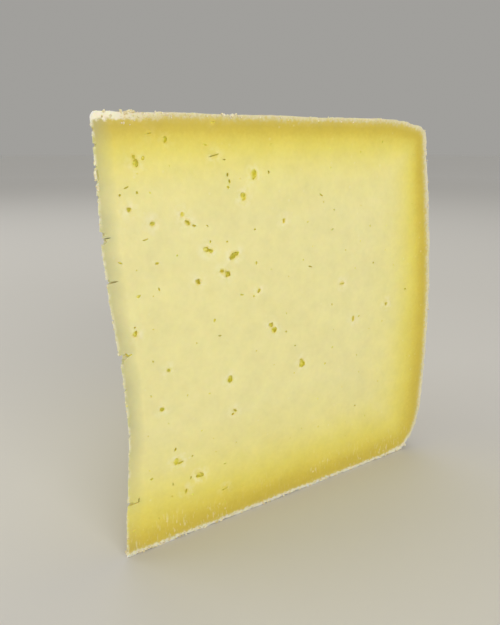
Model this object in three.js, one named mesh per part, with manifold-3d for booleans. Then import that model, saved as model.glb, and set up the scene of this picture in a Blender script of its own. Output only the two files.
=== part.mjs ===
// A wedge of semi-hard cheese, cut from a round wheel and standing on the wheel's flat base.
// Millimetres, +Z up. The wedge points along -X, its heel faces +X, and the origin is at the
// centre of its bounding box, on the base.

import * as THREE from 'three';
import { mergeVertices } from 'three/addons/utils/BufferGeometryUtils.js';
import Module from 'manifold-3d';

// ---- driving dimensions ----

// The wheel the wedge was cut from
const WHEEL_HEIGHT = 120;
const HEEL_FOOT_RADIUS = 118.6;
const HEEL_BULGE = 1.7;
const HEEL_LEAN = 8.6;
const FOOT_ROUNDING = { across: 11, up: 20 };
const SHOULDER_HEIGHT = 108;
const SHOULDER_ROUNDING = 5;
const SHOULDER_STEP = 1;
const SHOULDER_PULL = { in: 1.4, down: 0.7 };
const CROWN_START = 90;
const CROWN_DROP = 1.5;
const CROWN_PULL = { in: 2, down: 0.4 };
const WHEEL_SEGMENTS = 192;
const CURVE_STEPS = 8;

// The cut
const WEDGE_ANGLE = THREE.MathUtils.degToRad(45);
const CUT_OVERSHOOT = 30;
const CUT_REACH = HEEL_FOOT_RADIUS + CUT_OVERSHOOT;

// The sharp inner edge, worn hollow over its lower part
const TIP_HOLLOW_DEPTH = 2.6;
const TIP_HOLLOW_TOP = 85;
const TIP_STEPS = 30;
const TIP_TOLERANCE = 1;

// Chips out of the inner edge: height above the base, depth, opening, lean
const CHIPS = [
  { height: 112.5, depth: 1.6, opening: 1.2, lean: 0.2 },
  { height: 106, depth: 1.4, opening: 2.6, lean: -0.2 },
  { height: 91, depth: 1.6, opening: 4.2, lean: 0 },
  { height: 80.3, depth: 2.6, opening: 0.9, lean: 0.25 },
  { height: 60.2, depth: 2.4, opening: 2.8, lean: 0.3 },
  { height: 17.3, depth: 2.0, opening: 1.8, lean: -0.3 },
];
const CHIP_WIDTH = 8;
const CHIP_OVERHANG = 2;

// The larger eyes: distance out from the inner edge, height, width, tallness, tilt
const RIGHT_FACE_EYES = [
  { out: 9, up: 109, wide: 1.7, tall: 2.9, tilt: 0.4 },
  { out: 17, up: 114, wide: 1.4, tall: 1.8, tilt: 0 },
  { out: 43, up: 105, wide: 1.7, tall: 2.8, tilt: 0.2 },
  { out: 39, up: 99, wide: 1.6, tall: 2.1, tilt: 0 },
  { out: 23, up: 93, wide: 2.4, tall: 1.4, tilt: -0.5 },
  { out: 28, up: 86, wide: 2.4, tall: 1.5, tilt: -0.3 },
  { out: 36, up: 83, wide: 3.0, tall: 2.4, tilt: 0.5 },
  { out: 33, up: 79, wide: 2.4, tall: 1.8, tilt: 0.3 },
  { out: 25, up: 78, wide: 1.6, tall: 2.0, tilt: 0 },
  { out: 49, up: 60, wide: 3.0, tall: 2.2, tilt: -0.7 },
  { out: 61, up: 46, wide: 2.0, tall: 2.6, tilt: 0.2 },
  { out: 34, up: 47, wide: 1.7, tall: 2.4, tilt: 0 },
  { out: 24, up: 19, wide: 2.6, tall: 1.8, tilt: 0 },
  { out: 17, up: 26, wide: 2.5, tall: 1.3, tilt: -0.4 },
];
const LEFT_FACE_EYES = [
  { out: 21, up: 97, wide: 2.2, tall: 1.5, tilt: 0.3 },
  { out: 35, up: 104, wide: 1.6, tall: 2.4, tilt: 0 },
  { out: 30, up: 80, wide: 2.6, tall: 1.9, tilt: -0.4 },
  { out: 47, up: 88, wide: 1.8, tall: 2.2, tilt: 0.2 },
  { out: 56, up: 63, wide: 2.7, tall: 1.8, tilt: 0.5 },
  { out: 27, up: 55, wide: 1.9, tall: 2.3, tilt: 0 },
  { out: 41, up: 36, wide: 2.3, tall: 1.6, tilt: -0.3 },
  { out: 20, up: 24, wide: 2.0, tall: 1.7, tilt: 0.6 },
  { out: 71, up: 49, wide: 1.7, tall: 2.0, tilt: 0 },
  { out: 64, up: 92, wide: 1.9, tall: 1.6, tilt: 0.2 },
];
const EYE_DEPTH = 1.3;

// Corners closer than this are one corner
const MERGE_DISTANCE = 1e-4;

const PASTE_COLOUR = 0xe3d98f;
const PASTE_ROUGHNESS = 0.5;

const wasm = await Module();
wasm.setup();

// ---- solids in and out of the boolean library ----

/** Drops the triangles that merging has folded to a line, such as those at a lathe's poles. */
function withoutFoldedTriangles(indices) {
  const kept = [];
  for (let i = 0; i < indices.length; i += 3) {
    const [a, b, c] = [indices[i], indices[i + 1], indices[i + 2]];
    if (a !== b && b !== c && c !== a) kept.push(a, b, c);
  }
  return new Uint32Array(kept);
}

/** Turns a closed three.js geometry into a solid that can be joined and cut. */
function toSolid(geometry) {
  const bare = geometry.clone();
  bare.deleteAttribute('normal');
  bare.deleteAttribute('uv');
  const merged = mergeVertices(bare, MERGE_DISTANCE);
  const vertProperties = new Float32Array(merged.attributes.position.array);
  const triVerts = withoutFoldedTriangles(merged.index.array);
  return new wasm.Manifold(new wasm.Mesh({ numProp: 3, vertProperties, triVerts }));
}

/** Turns a solid back into a geometry with flat-shaded faces. */
function toGeometry(solid) {
  const mesh = solid.getMesh();
  const geometry = new THREE.BufferGeometry();
  geometry.setAttribute('position', new THREE.BufferAttribute(new Float32Array(mesh.vertProperties), 3));
  geometry.setIndex(new THREE.BufferAttribute(new Uint32Array(mesh.triVerts), 1));
  geometry.computeVertexNormals();
  return geometry;
}

// ---- the wheel ----

/** Half the wheel's section, from the centre of the base, round the heel, to the centre of the top. */
function wheelSection() {
  const foot = FOOT_ROUNDING;
  const shoulderRadius = HEEL_FOOT_RADIUS - HEEL_LEAN;
  const bulgeRadius = HEEL_FOOT_RADIUS + HEEL_BULGE;
  const bulgeHeight = (foot.up + SHOULDER_HEIGHT) / 2;
  const browRadius = shoulderRadius - SHOULDER_STEP;
  const browHeight = WHEEL_HEIGHT - CROWN_DROP;
  const section = new THREE.Path();
  section.moveTo(0, 0);
  section.lineTo(HEEL_FOOT_RADIUS - foot.across, 0);
  section.absellipse(
    HEEL_FOOT_RADIUS - foot.across, foot.up, foot.across, foot.up, -Math.PI / 2, 0, false, 0,
  );
  section.quadraticCurveTo(bulgeRadius, bulgeHeight, shoulderRadius, SHOULDER_HEIGHT);
  section.lineTo(browRadius, browHeight - SHOULDER_ROUNDING + SHOULDER_STEP);
  section.quadraticCurveTo(
    shoulderRadius - SHOULDER_PULL.in, browHeight - SHOULDER_PULL.down,
    browRadius - SHOULDER_ROUNDING, browHeight,
  );
  section.quadraticCurveTo(
    (CROWN_START + shoulderRadius) / 2 - CROWN_PULL.in, WHEEL_HEIGHT - CROWN_PULL.down,
    CROWN_START, WHEEL_HEIGHT,
  );
  section.lineTo(0, WHEEL_HEIGHT);
  return section.getPoints(CURVE_STEPS);
}

/** The whole wheel, turned about its upright axis. */
function wheel() {
  const turned = new THREE.LatheGeometry(wheelSection(), WHEEL_SEGMENTS);
  turned.rotateX(Math.PI / 2);
  return toSolid(turned);
}

// ---- the cut ----

/** How far the inner edge lies inside the wheel's axis at a height. */
function tipHollow(height) {
  if (height <= 0 || height >= TIP_HOLLOW_TOP) return 0;
  return TIP_HOLLOW_DEPTH * Math.sin(Math.PI * height / TIP_HOLLOW_TOP) ** 2;
}

/** Points out from the inner edge along the right (-Y) or left (+Y) cut face. */
function faceDirection(side) {
  const angle = side * WEDGE_ANGLE / 2;
  return new THREE.Vector3(Math.cos(angle), Math.sin(angle), 0);
}

/** A point on a cut face. The left face bends in towards the hollow inner edge, the right one is flat. */
function onFace(side, out, up) {
  const bend = side > 0 ? tipHollow(up) * (1 - out / CUT_REACH) : 0;
  const point = faceDirection(side).multiplyScalar(out);
  return point.addScaledVector(faceDirection(-1), bend).setZ(up);
}

/** The block of wedge that the two cuts leave, taller and longer than the wheel. */
function wedgeBlock() {
  const right = faceDirection(-1).multiplyScalar(CUT_REACH);
  const left = faceDirection(1).multiplyScalar(CUT_REACH);
  const plan = new THREE.Shape([
    new THREE.Vector2(0, 0), new THREE.Vector2(right.x, right.y), new THREE.Vector2(left.x, left.y),
  ]);
  const depth = WHEEL_HEIGHT + 2 * CUT_OVERSHOOT;
  const block = new THREE.ExtrudeGeometry(plan, { depth, steps: 2 * TIP_STEPS, bevelEnabled: false });
  block.translate(0, 0, -CUT_OVERSHOOT);
  const point = new THREE.Vector3();
  for (let i = 0; i < block.attributes.position.count; i += 1) {
    point.fromBufferAttribute(block.attributes.position, i);
    if (Math.hypot(point.x, point.y) > TIP_TOLERANCE) continue;
    point.addScaledVector(faceDirection(-1), tipHollow(point.z));
    block.attributes.position.setXYZ(i, point.x, point.y, point.z);
  }
  return toSolid(block);
}

// ---- chips and eyes ----

/** A three-sided bite out of the inner edge, pointing into the cheese. */
function chipCutter({ height, depth, opening, lean }) {
  const outline = new THREE.Shape([
    new THREE.Vector2(-CHIP_OVERHANG, -opening),
    new THREE.Vector2(depth, depth * lean),
    new THREE.Vector2(-CHIP_OVERHANG, opening),
  ]);
  const bite = new THREE.ExtrudeGeometry(outline, { depth: CHIP_WIDTH, bevelEnabled: false });
  bite.translate(0, 0, -CHIP_WIDTH / 2);
  bite.rotateX(Math.PI / 2);
  bite.translate(tipHollow(height), 0, height);
  return toSolid(bite);
}

/** An angular little hole on one cut face. */
function eyeCutter({ out, up, wide, tall, tilt }, side) {
  const eye = new THREE.IcosahedronGeometry(1, 0);
  eye.scale(wide / 2, EYE_DEPTH, tall / 2);
  eye.rotateY(tilt);
  eye.rotateZ(side * WEDGE_ANGLE / 2);
  eye.translate(...onFace(side, out, up));
  return toSolid(eye);
}

/** The finished wedge: wheel, cut to a wedge, less its chips and eyes. */
function wedge() {
  const cutters = [
    ...CHIPS.map((chip) => chipCutter(chip)),
    ...RIGHT_FACE_EYES.map((eye) => eyeCutter(eye, -1)),
    ...LEFT_FACE_EYES.map((eye) => eyeCutter(eye, 1)),
  ];
  return cutters.reduce((solid, cutter) => solid.subtract(cutter), wheel().intersect(wedgeBlock()));
}

/** Moves a geometry so that the centre of its box, on the base, is the origin. */
function standOnOrigin(geometry) {
  geometry.computeBoundingBox();
  const box = geometry.boundingBox;
  geometry.translate(-(box.min.x + box.max.x) / 2, -(box.min.y + box.max.y) / 2, -box.min.z);
  return geometry;
}

// ---- the model ----

const cheese = new THREE.Mesh(
  standOnOrigin(toGeometry(wedge())),
  new THREE.MeshStandardMaterial({ color: PASTE_COLOUR, roughness: PASTE_ROUGHNESS, metalness: 0 }),
);
cheese.name = 'cheese_wedge';

const model = new THREE.Group();
model.add(cheese);

export default model;
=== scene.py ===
"""A wedge of semi-hard cheese, cut from a round wheel and standing on the wheel's flat base.

The wedge is one piece: pale paste with small angular eyes, a chipped inner edge and a thin natural
rind. Its shape is worked out in millimetres about the wheel's upright axis, then placed in the frame
in metres.
"""

import logging
import math
from dataclasses import dataclass, field
from enum import Enum, IntEnum
from typing import Any, Callable, Mapping, Sequence

import bmesh
import bpy
import numpy as np
from mathutils import Matrix, Vector, noise
from mathutils.geometry import delaunay_2d_cdt


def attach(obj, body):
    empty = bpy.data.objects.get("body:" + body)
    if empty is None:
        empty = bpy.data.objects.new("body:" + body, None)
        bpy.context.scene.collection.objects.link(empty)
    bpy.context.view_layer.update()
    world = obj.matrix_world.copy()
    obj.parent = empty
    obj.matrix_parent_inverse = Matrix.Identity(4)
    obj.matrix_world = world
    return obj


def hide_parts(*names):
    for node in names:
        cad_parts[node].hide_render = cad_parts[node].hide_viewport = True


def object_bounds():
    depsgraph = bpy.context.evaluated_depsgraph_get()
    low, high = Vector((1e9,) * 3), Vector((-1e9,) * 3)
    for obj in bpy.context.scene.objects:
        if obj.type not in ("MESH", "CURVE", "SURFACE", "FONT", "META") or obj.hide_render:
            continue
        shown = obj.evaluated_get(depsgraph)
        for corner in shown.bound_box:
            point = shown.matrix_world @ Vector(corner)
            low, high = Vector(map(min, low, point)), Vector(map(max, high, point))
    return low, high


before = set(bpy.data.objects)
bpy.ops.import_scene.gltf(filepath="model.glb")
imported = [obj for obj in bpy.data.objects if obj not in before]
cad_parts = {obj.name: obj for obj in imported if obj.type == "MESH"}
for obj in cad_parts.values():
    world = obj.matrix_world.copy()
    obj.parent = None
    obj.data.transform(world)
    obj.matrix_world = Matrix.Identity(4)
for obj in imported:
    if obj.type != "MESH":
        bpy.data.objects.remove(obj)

CAD_LOW, CAD_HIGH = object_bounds()
FOOT = Vector((CAD_LOW.x, (CAD_LOW.y + CAD_HIGH.y) / 2, CAD_LOW.z))
NODE = "cheese_wedge"
BODY = "root"
MM = 0.001

log = logging.getLogger("cheese")

Array = np.ndarray
Thing = bpy.types.Object
Tree = bpy.types.NodeTree
Node = bpy.types.Node
Socket = bpy.types.NodeSocket
Shell = bmesh.types.BMesh
Spot = tuple[float, float]
Layer = tuple[float, float, float]
Faces = Sequence[tuple[int, ...]]


class Side(Enum):
    """The two cut faces, by the side of the wedge that they are on."""

    RIGHT = -1
    LEFT = 1


class Slot(IntEnum):
    """Places in the wedge's list of materials."""

    PASTE = 0
    RIND = 1
    EYE_WALL = 2
    CRUMB = 3


class Cutting(Enum):
    """What a Boolean step does with its second shape."""

    REMOVE = "DIFFERENCE"
    ADD = "UNION"


# ---- small tools ----


def linear(hex_colour: str) -> tuple[float, float, float, float]:
    """Turns an sRGB colour into the linear values that shaders take.

    Args:
        hex_colour: Six hex digits, with or without a leading #.

    Returns:
        Red, green and blue, 0 to 1, and an alpha of 1.
    """
    digits = hex_colour.lstrip("#")
    parts = [int(digits[i:i + 2], 16) / 255 for i in (0, 2, 4)]
    curve = [c / 12.92 if c <= 0.04045 else ((c + 0.055) / 1.055) ** 2.4 for c in parts]
    return curve[0], curve[1], curve[2], 1.0


def add_node(
    tree: Tree,
    kind: str,
    inputs: Mapping[str | int, Any] | None = None,
    **settings: Any,
) -> Node:
    """Adds one node, with its settings, its input values and its links.

    Args:
        tree: The shader or geometry tree that takes the node.
        kind: The node's type name.
        inputs: Values or output sockets, by the input's name or number.
        **settings: The node's own properties.

    Returns:
        The new node.
    """
    node = tree.nodes.new(kind)
    for name, value in settings.items():
        setattr(node, name, value)
    for key, value in (inputs or {}).items():
        socket = node.inputs[key]
        if isinstance(value, Socket):
            tree.links.new(value, socket)
        else:
            socket.default_value = value
    return node


def grain(points: Array, size: float, seed: float) -> Array:
    """Smooth random values, about -1 to 1, for a pattern of a given grain.

    Args:
        points: Places in millimetres, N by 3.
        size: Size of one lump in millimetres.
        seed: Shifts the pattern, so that two patterns differ.

    Returns:
        One value for each point.
    """
    shift = Vector((seed * 13.7, -seed * 7.1, seed * 3.3))
    return np.array([noise.noise(Vector(p) / size + shift) for p in points])


def layered(points: Array, *layers: Layer) -> Array:
    """Adds up random patterns, each given by its share, its lump size in millimetres and its seed."""
    return sum(share * grain(points, size, seed) for share, size, seed in layers)


def fade(distance: Array, reach: float) -> Array:
    """One at no distance, falling smoothly to nothing a little beyond the reach."""
    return np.exp(-((distance / reach) ** 2))


def put(name: str, data: bpy.types.ID) -> Thing:
    """Puts a mesh, light or camera into the scene as an object.

    Args:
        name: The object's name.
        data: The mesh, light or camera.

    Returns:
        The object.
    """
    thing = bpy.data.objects.new(name, data)
    bpy.context.scene.collection.objects.link(thing)
    return thing


def as_mesh(shell: Shell, mesh: bpy.types.Mesh) -> bpy.types.Mesh:
    """Writes a shell into a mesh and lets go of the shell.

    Args:
        shell: The shell, which is used up.
        mesh: The mesh that takes its faces.

    Returns:
        The same mesh.
    """
    shell.to_mesh(mesh)
    shell.free()
    return mesh


def note(mesh: bpy.types.Mesh, name: str, values: Array) -> None:
    """Writes one number, or one vector, on every corner of a mesh.

    Args:
        mesh: The mesh.
        name: What they are noted under.
        values: One number or one row for each corner.
    """
    single = np.ndim(values) == 1
    layer = mesh.attributes.new(name, "FLOAT" if single else "FLOAT_VECTOR", "POINT")
    layer.data.foreach_set("value" if single else "vector", np.asarray(values, np.float32).ravel())


def read_points(mesh: bpy.types.Mesh) -> Array:
    """The corners of a mesh, N by 3."""
    return np.array([tuple(corner.co) for corner in mesh.vertices])


# ---- the shape of the wheel and the cut ----


@dataclass(frozen=True)
class Wheel:
    """The whole cheese that the wedge was cut from, as a section turned about its upright axis.

    Sizes are in millimetres. The foot has sagged into a large rounding, the heel leans in towards the
    top, and the top falls away a little to a tighter shoulder.
    """

    height: float
    foot_radius: float = 118.6
    heel_bulge: float = 1.7
    heel_lean: float = 8.6
    foot_across: float = 11.0
    foot_up: float = 20.0
    foot_arc: float = 26.0
    shoulder_height: float = 108.0
    shoulder_rounding: float = 5.0
    crown_start: float = 90.0
    shoulder_step: float = 1.0
    shoulder_pull: Spot = (1.4, 0.7)
    crown_drop: float = 1.5
    crown_pull: Spot = (2.0, 0.4)
    coarse_step: float = 2.0
    batch: int = 4000

    @property
    def base_radius(self) -> float:
        """Radius of the flat part of the base."""
        return self.foot_radius - self.foot_across

    def _bow(self, start: Spot, pull: Spot, end: Spot, step: float) -> list[Spot]:
        """Points on a bow from start to end that is pulled towards a third point.

        Args:
            start: Where the bow starts, which isn't repeated in the result.
            pull: The point it is pulled towards.
            end: Where it ends.
            step: Spacing in millimetres.

        Returns:
            The points after the start, as (radius, height).
        """
        a, b, c = (np.array(p, float) for p in (start, pull, end))
        count = max(2, round((np.linalg.norm(b - a) + np.linalg.norm(c - b)) / step))
        shares = np.linspace(0, 1, count + 1)[1:]
        return [tuple((1 - t) ** 2 * a + 2 * t * (1 - t) * b + t * t * c) for t in shares]

    def heel_section(self, step: float) -> Array:
        """The rounded part of the section, from the edge of the flat base to the flat top.

        Args:
            step: Spacing in millimetres.

        Returns:
            Points as (radius, height), N by 2.
        """
        turns = np.linspace(-math.pi / 2, 0, max(4, round(self.foot_arc / step)) + 1)
        foot = [
            (self.base_radius + self.foot_across * math.cos(t), self.foot_up * (1 + math.sin(t)))
            for t in turns
        ]
        shoulder = self.foot_radius - self.heel_lean
        brow = self.height - self.crown_drop
        bulge = (self.foot_radius + self.heel_bulge, (self.foot_up + self.shoulder_height) / 2)
        lip = (shoulder - self.shoulder_step, brow - self.shoulder_rounding + self.shoulder_step)
        brow_point = (lip[0] - self.shoulder_rounding, brow)
        turn = (shoulder - self.shoulder_pull[0], brow - self.shoulder_pull[1])
        ease = ((self.crown_start + shoulder) / 2 - self.crown_pull[0], self.height - self.crown_pull[1])
        points = foot + self._bow(foot[-1], bulge, (shoulder, self.shoulder_height), step)
        middle = (shoulder - self.shoulder_step / 2, (self.shoulder_height + lip[1]) / 2)
        points += self._bow(points[-1], middle, lip, step)
        points += self._bow(lip, turn, brow_point, step)
        points += self._bow(brow_point, ease, (self.crown_start, self.height), step)
        return np.array(points)

    def section(self, step: float) -> Array:
        """The whole half section, from the middle of the base to the middle of the top.

        Args:
            step: Spacing in millimetres.

        Returns:
            Points as (radius, height), N by 2.
        """
        heel = self.heel_section(step)
        base = np.linspace(0, self.base_radius, round(self.base_radius / step) + 1)[:-1]
        top = np.linspace(self.crown_start, 0, round(self.crown_start / step) + 1)[1:]
        return np.vstack([[(r, 0.0) for r in base], heel, [(r, self.height) for r in top]])

    def under_rind(self, places: Array) -> tuple[Array, Array]:
        """How far places in the section lie in from the wheel's outside.

        Args:
            places: (radius, height) in millimetres, N by 2.

        Returns:
            The distance of each place, and the outward direction at the nearest outside point.
        """
        line = self.section(self.coarse_step)
        starts, runs = line[:-1], np.diff(line, axis=0)
        lengths = np.einsum("ij,ij->i", runs, runs)
        outwards = np.stack([runs[:, 1], -runs[:, 0]], 1) / np.sqrt(lengths)[:, None]
        depth = np.empty(len(places))
        outward = np.empty((len(places), 2))
        for first in range(0, len(places), self.batch):
            some = places[first:first + self.batch]
            gap = some[:, None, :] - starts[None]
            share = np.clip(np.einsum("nij,ij->ni", gap, runs) / lengths, 0, 1)
            gap -= share[..., None] * runs
            far = np.sqrt(np.einsum("nij,nij->ni", gap, gap))
            nearest = far.argmin(1)
            depth[first:first + self.batch] = far[np.arange(len(some)), nearest]
            outward[first:first + self.batch] = outwards[nearest]
        return depth, outward


@dataclass(frozen=True)
class Cut:
    """The two cuts that freed the wedge, and the inner edge where they meet.

    The right face is flat. The left face bends in a little to meet the edge, which is worn hollow.
    """

    wheel: Wheel
    angle: float = math.radians(45)
    hollow_depth: float = 2.75
    hollow_top: float = 85.0
    brow: float = 0.8
    brow_start: float = 74.0
    brow_full: float = 97.0
    bend_reach: float = 60.0
    brow_end: float = 1.4
    edge_wobble: float = 0.3
    edge_wear: float = 0.6
    sound_ends: float = 6.0
    edge_lumps: tuple[Layer, ...] = ((0.7, 9.0, 1.0), (0.5, 2.4, 2.0), (0.3, 0.9, 3.0))

    def direction(self, side: Side) -> Array:
        """Points out from the inner edge along one cut face."""
        turn = side.value * self.angle / 2
        return np.array([math.cos(turn), math.sin(turn), 0.0])

    def outward(self, side: Side) -> Array:
        """Points straight out of one cut face."""
        along = self.direction(side)
        return side.value * np.array([-along[1], along[0], 0.0])

    def edge(self, up: Array) -> Array:
        """How far the inner edge lies inside the wheel's axis.

        Args:
            up: Heights above the base, in millimetres.

        Returns:
            A distance for each height, nothing at the base and at the top. It is below nothing where
            the edge swells out under the top.
        """
        height = self.wheel.height
        swell = np.clip((up - self.brow_start) / (self.brow_full - self.brow_start), 0, 1)
        closing = np.sqrt(np.clip((height - up) / self.brow_end, 0, 1))
        swell = self.brow * swell ** 2 * (3 - 2 * swell) * closing
        share = np.clip(up / self.hollow_top, 0, 1)
        hollow = self.hollow_depth * np.sin(np.pi * share) ** 2
        line = np.stack([np.zeros_like(up), np.zeros_like(up), up], 1)
        wobble = self.edge_wear + layered(line, *self.edge_lumps)
        ends = np.clip(np.minimum(up, height - up) / self.sound_ends, 0, 1)
        return hollow - swell + self.edge_wobble * wobble * ends

    def on_face(self, side: Side, out: Array, up: Array, edge: Array) -> Array:
        """Places on a cut face.

        Args:
            side: Which face.
            out: Distances from the wheel's axis, in millimetres.
            up: Heights above the base.
            edge: How far the inner edge lies inside the axis at those heights.

        Returns:
            Points about the wheel's axis, N by 3.
        """
        points = out[:, None] * self.direction(side)
        if side is Side.LEFT:
            share = np.clip(1 - (out - edge) / self.bend_reach, 0, 1) ** 2
            across = self.direction(Side.RIGHT) - self.direction(Side.LEFT)
            points = points + (edge * share)[:, None] * across
        points[:, 2] = up
        return points


@dataclass(frozen=True)
class Placed:
    """Where points lie in the wedge: how deep under the rind and under a cut, and which way is out."""

    under_rind: Array
    under_cut: Array
    radius: Array
    rind_outward: Array
    cut_outward: Array

    @classmethod
    def of(cls, points: Array, cut: Cut) -> "Placed":
        """Works the places out.

        Args:
            points: Points about the wheel's axis in millimetres, N by 3.
            cut: The cuts.

        Returns:
            Depths and directions for every point.
        """
        radius = np.hypot(points[:, 0], points[:, 1])
        turn = np.arctan2(points[:, 1], points[:, 0])
        depth, outward = cut.wheel.under_rind(np.stack([radius, points[:, 2]], 1))
        level, rise = outward.T
        rind_outward = np.stack([level * np.cos(turn), level * np.sin(turn), rise], 1)
        on_left = (turn > 0)[:, None]
        cut_outward = np.where(on_left, cut.outward(Side.LEFT), cut.outward(Side.RIGHT))
        under_cut = radius * np.sin(np.clip(cut.angle / 2 - np.abs(turn), 0, math.pi / 2))
        return cls(depth, under_cut, radius, rind_outward, cut_outward)


# ---- finishes ----


class Recipe:
    """One material in the making: its node tree, its object coordinates and the sums that finishes use."""

    def __init__(self, name: str) -> None:
        """Starts a material with a Principled shader.

        Args:
            name: The real material's name.
        """
        self.material = bpy.data.materials.new(name)
        self.material.use_nodes = True
        self.tree = self.material.node_tree
        self.tree.nodes.clear()
        self.shader = add_node(self.tree, "ShaderNodeBsdfPrincipled", {"IOR": 1.45})
        add_node(self.tree, "ShaderNodeOutputMaterial", {"Surface": self.shader.outputs["BSDF"]})
        self.place = add_node(self.tree, "ShaderNodeTexCoord").outputs["Object"]

    def pattern(self, size_mm: float, detail: float = 2.0, twist: float = 0.0) -> Socket:
        """Adds a cloudy pattern, 0 to 1, whose lumps have a real size.

        Args:
            size_mm: Size of one lump.
            detail: How many finer layers it has.
            twist: How far the lumps are swirled.

        Returns:
            The pattern's value.
        """
        inputs = {"Vector": self.place, "Scale": 1 / (size_mm * MM), "Detail": detail, "Distortion": twist}
        return add_node(self.tree, "ShaderNodeTexNoise", inputs).outputs["Fac"]

    def cells(self, size_mm: float, feature: str = "F1") -> Socket:
        """Adds a pattern of cells of a real size: the distance from each cell's middle."""
        inputs = {"Vector": self.place, "Scale": 1 / (size_mm * MM)}
        return add_node(self.tree, "ShaderNodeTexVoronoi", inputs, feature=feature).outputs["Distance"]

    def height(self) -> Socket:
        """The height above the base, in metres."""
        return add_node(self.tree, "ShaderNodeSeparateXYZ", {0: self.place}).outputs["Z"]

    def maths(self, operation: str, *values: Socket | float) -> Socket:
        """Adds one sum of sockets and plain numbers."""
        return add_node(self.tree, "ShaderNodeMath", dict(enumerate(values)), operation=operation).outputs[0]

    def between(self, value: Socket, start: float, end: float, low: float, high: float) -> Socket:
        """Turns a value that runs from start to end into one that runs from low to high.

        Args:
            value: The value to turn.
            start: Where the change begins.
            end: Where it ends.
            low: The result up to the start.
            high: The result from the end on.

        Returns:
            The turned value.
        """
        inputs = {"Value": value, "From Min": start, "From Max": end, "To Min": low, "To Max": high}
        return add_node(self.tree, "ShaderNodeMapRange", inputs).outputs["Result"]

    def ramp(self, value: Socket, stops: Sequence[tuple[float, str]]) -> Socket:
        """Adds a colour ramp.

        Args:
            value: What picks the colour, 0 to 1.
            stops: Positions, 0 to 1, and sRGB hex colours.

        Returns:
            The colour.
        """
        node = add_node(self.tree, "ShaderNodeValToRGB", {"Fac": value})
        elements = node.color_ramp.elements
        while len(elements) < len(stops):
            elements.new(1.0)
        for element, (position, colour) in zip(elements, stops):
            element.position = position
            element.color = linear(colour)
        return node.outputs["Color"]

    def blend(self, colour: Socket, other: str, share: Socket) -> Socket:
        """Mixes a share of a plain sRGB colour into a colour."""
        inputs = {"Factor": share, 6: colour, 7: linear(other)}
        return add_node(self.tree, "ShaderNodeMix", inputs, data_type="RGBA").outputs[2]

    def shaded(self, colour: Socket, tone: Socket) -> Socket:
        """Multiplies a colour by a tone."""
        kind = {"data_type": "RGBA", "blend_type": "MULTIPLY"}
        return add_node(self.tree, "ShaderNodeMix", {"Factor": 1.0, 6: colour, 7: tone}, **kind).outputs[2]

    def relief(self, height: Socket, strength: float, depth_mm: float, under: Socket | None = None) -> Socket:
        """Bends the normal.

        Args:
            height: The height pattern.
            strength: How much of it shows.
            depth_mm: How deep it goes.
            under: The relief that it lies on, if any.

        Returns:
            The bent normal.
        """
        inputs = {"Height": height, "Strength": strength, "Distance": depth_mm * MM}
        if under is not None:
            inputs["Normal"] = under
        return add_node(self.tree, "ShaderNodeBump", inputs).outputs["Normal"]

    def finish(
        self, colour: Socket, rough: Socket, relief: Socket, share: float, depth_mm: float,
    ) -> bpy.types.Material:
        """Links the results to the shader and lets light sink in: red furthest, blue least, as in milk fat.

        Args:
            colour: The base colour.
            rough: The roughness.
            relief: The bent normal.
            share: How much of the light sinks in, 0 to 1.
            depth_mm: How far the red light goes.

        Returns:
            The finished material.
        """
        for name, socket in (("Base Color", colour), ("Roughness", rough), ("Normal", relief)):
            self.tree.links.new(socket, self.shader.inputs[name])
        self.shader.inputs["Subsurface Weight"].default_value = share
        self.shader.inputs["Subsurface Radius"].default_value = (1.0, 0.75, 0.3)
        self.shader.inputs["Subsurface Scale"].default_value = depth_mm * MM
        return self.material


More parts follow.
